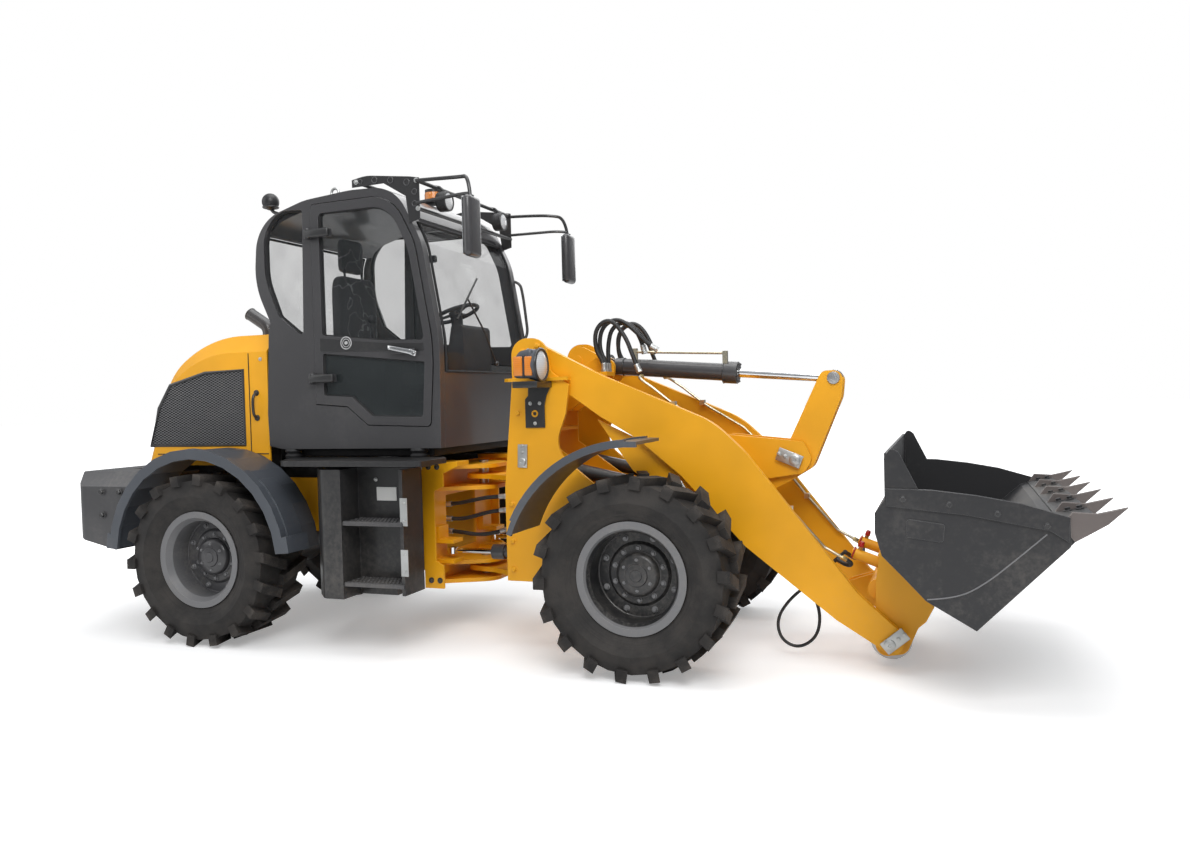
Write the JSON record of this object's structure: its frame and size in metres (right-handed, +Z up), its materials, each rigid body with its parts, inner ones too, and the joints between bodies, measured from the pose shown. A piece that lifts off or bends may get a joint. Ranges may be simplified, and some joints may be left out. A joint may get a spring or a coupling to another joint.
{
  "type": "wheel loader",
  "caption": "Articulated wheel loader with an enclosed cab, lift arms with a Z-bar tilt linkage, a quick coupler and a toothed bucket, standing with its bucket rolled back low.",
  "frame": {"origin": "on the ground under the middle of the machine's bounding box", "axes": "+X forward towards the bucket, +Y to the driver's left, +Z up"},
  "size_m": [6.211, 2, 2.87],
  "materials": {
    "black_paint": "semi-matt enamel",
    "black_rubber": "braided hose cover",
    "blue_grey_paint": "satin enamel",
    "chromed_steel": "polished",
    "dark_grey_paint": "satin enamel",
    "grey_paint": "satin enamel",
    "lamp_plastic": "clear lens on a white housing",
    "pin_steel": "turned",
    "pipe_steel": "zinc plated",
    "trim_plastic": "grained",
    "tyre_rubber": "moulded, dusty",
    "window_glass": "clear, lightly tinted",
    "yellow_paint": "satin enamel"
  },
  "bodies": {
    "rear_half": {"rear_frame": "yellow_paint", "hinge_pins": "pin_steel", "rear_axle": "black_paint", "engine_block": "black_paint", "counterweight": "dark_grey_paint", "hood": "yellow_paint", "hood_grilles": "dark_grey_paint", "tank_steps": "dark_grey_paint", "rear_fenders": "blue_grey_paint", "cab_sides": "dark_grey_paint", "cab_roof": "dark_grey_paint", "cab_base": "dark_grey_paint", "cab_glass": "window_glass", "seat": "trim_plastic", "steering_console": "trim_plastic", "control_console": "trim_plastic", "roof_rack": "black_paint", "roof_lamps": "lamp_plastic", "mirrors": "dark_grey_paint", "exhaust_pipe": "dark_grey_paint", "frame_hoses": "black_rubber"},
    "front_half": {"front_frame": "yellow_paint", "front_axle": "black_paint", "front_fenders": "blue_grey_paint", "headlights": "blue_grey_paint", "boom_hoses": "black_rubber"},
    "door_left": {"door_left": "dark_grey_paint", "door_glass_left": "window_glass"},
    "door_right": {"door_right": "dark_grey_paint", "door_glass_right": "window_glass"},
    "boom": {"boom_arm_left": "yellow_paint", "boom_arm_right": "yellow_paint", "boom_cross_tube": "yellow_paint", "boom_pipes": "pipe_steel", "coupler_hose": "black_rubber"},
    "bucket_pins": {"bucket_pins": "pin_steel"},
    "bucket": {"coupler": "yellow_paint", "bucket": "black_paint", "bucket_teeth": "black_paint"},
    "rocker_pin": {"rocker_pin": "pin_steel"},
    "rocker": {"rocker": "yellow_paint"},
    "link_pin": {"link_pin": "pin_steel"},
    "tilt_link": {"tilt_link": "yellow_paint"},
    "tilt_cylinder": {"tilt_cylinder_barrel": "dark_grey_paint", "tilt_pipes": "pipe_steel"},
    "tilt_rod": {"tilt_cylinder_rod": "chromed_steel"},
    "lift_cylinders": {"lift_cylinder_barrels": "black_paint"},
    "lift_rods": {"lift_cylinder_rods": "chromed_steel"},
    "steering_cylinder_left": {"steering_cylinder_barrel_left": "dark_grey_paint"},
    "steering_rod_left": {"steering_cylinder_rod_left": "chromed_steel"},
    "wheel_front_left": {"rim_front_left": "grey_paint", "tyre_front_left": "tyre_rubber"},
    "wheel_rear_left": {"rim_rear_left": "grey_paint", "tyre_rear_left": "tyre_rubber"},
    "steering_cylinder_right": {"steering_cylinder_barrel_right": "dark_grey_paint"},
    "steering_rod_right": {"steering_cylinder_rod_right": "chromed_steel"},
    "wheel_front_right": {"rim_front_right": "grey_paint", "tyre_front_right": "tyre_rubber"},
    "wheel_rear_right": {"rim_rear_right": "grey_paint", "tyre_rear_right": "tyre_rubber"}
  },
  "joints": [
    {"name": "steer", "type": "hinge", "parent": "rear_half", "child": "front_half", "pos_m": [-0.4615, 0, 0.7], "axis": [0, 0, 1], "range_deg": [-35, 35]},
    {"name": "wheel_front_left_spin", "type": "hinge", "parent": "front_half", "child": "wheel_front_left", "pos_m": [0.8385, 0.765, 0.5375], "axis": [0, 1, 0], "continuous": true},
    {"name": "wheel_front_right_spin", "type": "hinge", "parent": "front_half", "child": "wheel_front_right", "pos_m": [0.8385, -0.765, 0.5375], "axis": [0, 1, 0], "continuous": true},
    {"name": "wheel_rear_left_spin", "type": "hinge", "parent": "rear_half", "child": "wheel_rear_left", "pos_m": [-1.9815, 0.765, 0.5375], "axis": [0, 1, 0], "continuous": true},
    {"name": "wheel_rear_right_spin", "type": "hinge", "parent": "rear_half", "child": "wheel_rear_right", "pos_m": [-1.9815, -0.765, 0.5375], "axis": [0, 1, 0], "continuous": true},
    {"name": "door_left_swing", "type": "hinge", "parent": "rear_half", "child": "door_left", "pos_m": [-1.2935, 0.646, 2], "axis": [0, 0, 1], "range_deg": [0, 160]},
    {"name": "door_right_swing", "type": "hinge", "parent": "rear_half", "child": "door_right", "pos_m": [-1.2935, -0.646, 2], "axis": [0, 0, -1], "range_deg": [0, 160]},
    {"name": "boom_lift", "type": "hinge", "parent": "front_half", "child": "boom", "pos_m": [0.0785, 0, 1.73], "axis": [0, -1, 0], "range_deg": [0, 78]},
    {"name": "bucket_level", "type": "hinge", "parent": "boom", "child": "bucket_pins", "pos_m": [2.0885, 0, 0.151], "axis": [0, -1, 0], "range_deg": [-78.05, 0]},
    {"name": "bucket_tilt", "type": "hinge", "parent": "bucket_pins", "child": "bucket", "pos_m": [2.0885, 0, 0.151], "axis": [0, -1, 0], "range_deg": [-84, 0]},
    {"name": "rocker_level", "type": "hinge", "parent": "boom", "child": "rocker_pin", "pos_m": [1.5685, 0, 1.096], "axis": [0, -1, 0], "range_deg": [0, 38.82]},
    {"name": "rocker_tilt", "type": "hinge", "parent": "rocker_pin", "child": "rocker", "pos_m": [1.5685, 0, 1.096], "axis": [0, -1, 0], "range_deg": [0, 42.47]},
    {"name": "link_level", "type": "hinge", "parent": "rocker", "child": "link_pin", "pos_m": [1.1355, 0, 0.835], "axis": [0, -1, 0], "range_deg": [-26.8, 0]},
    {"name": "link_tilt", "type": "hinge", "parent": "link_pin", "child": "tilt_link", "pos_m": [1.1355, 0, 0.835], "axis": [0, -1, 0], "range_deg": [-30.46, 0]},
    {"name": "tilt_cylinder_swing", "type": "hinge", "parent": "front_half", "child": "tilt_cylinder", "pos_m": [0.4425, 0, 1.671], "axis": [0, -1, 0], "range_deg": [0, 92.56]},
    {"name": "tilt_rod_slide", "type": "slide", "parent": "tilt_cylinder", "child": "tilt_rod", "axis": [0.9964, 0, -0.0846], "range_m": [-0.3685, 0]},
    {"name": "lift_cylinder_swing", "type": "hinge", "parent": "front_half", "child": "lift_cylinders", "pos_m": [0.0285, 0, 1.11], "axis": [0, -1, 0], "range_deg": [0, 64.24]},
    {"name": "lift_rod_slide", "type": "slide", "parent": "lift_cylinders", "child": "lift_rods", "axis": [0.9778, 0, -0.2095], "range_m": [0, 0.7179]},
    {"name": "steering_cylinder_left_swing", "type": "hinge", "parent": "front_half", "child": "steering_cylinder_left", "pos_m": [0.2785, 0.3, 0.545], "axis": [0, 0, 1], "range_deg": [-2.67, 2.67]},
    {"name": "steering_rod_left_slide", "type": "slide", "parent": "steering_cylinder_left", "child": "steering_rod_left", "axis": [-1, 0, 0], "range_m": [-0.1752, 0.1752]},
    {"name": "steering_cylinder_right_swing", "type": "hinge", "parent": "front_half", "child": "steering_cylinder_right", "pos_m": [0.2785, -0.3, 0.545], "axis": [0, 0, 1], "range_deg": [-2.67, 2.67]},
    {"name": "steering_rod_right_slide", "type": "slide", "parent": "steering_cylinder_right", "child": "steering_rod_right", "axis": [-1, 0, 0], "range_m": [-0.1752, 0.1752]}
  ],
  "couplings": [
    {"joint": "bucket_level", "follows": "boom_lift", "ratio": -1},
    {"joint": "rocker_level", "follows": "boom_lift", "ratio": 0.497},
    {"joint": "rocker_tilt", "follows": "bucket_tilt", "ratio": -0.505},
    {"joint": "link_level", "follows": "boom_lift", "ratio": -0.343},
    {"joint": "link_tilt", "follows": "bucket_tilt", "ratio": 0.362},
    {"joint": "tilt_cylinder_swing", "follows": "boom_lift", "ratio": 1.186},
    {"joint": "tilt_rod_slide", "follows": "bucket_tilt", "m_per_rad": 0.251},
    {"joint": "lift_cylinder_swing", "follows": "boom_lift", "ratio": 0.823},
    {"joint": "lift_rod_slide", "follows": "boom_lift", "m_per_rad": 0.527},
    {"joint": "steering_cylinder_left_swing", "follows": "steer", "ratio": -0.075},
    {"joint": "steering_cylinder_right_swing", "follows": "steer", "ratio": -0.075},
    {"joint": "steering_rod_left_slide", "follows": "steer", "m_per_rad": -0.286},
    {"joint": "steering_rod_right_slide", "follows": "steer", "m_per_rad": 0.286}
  ]
}
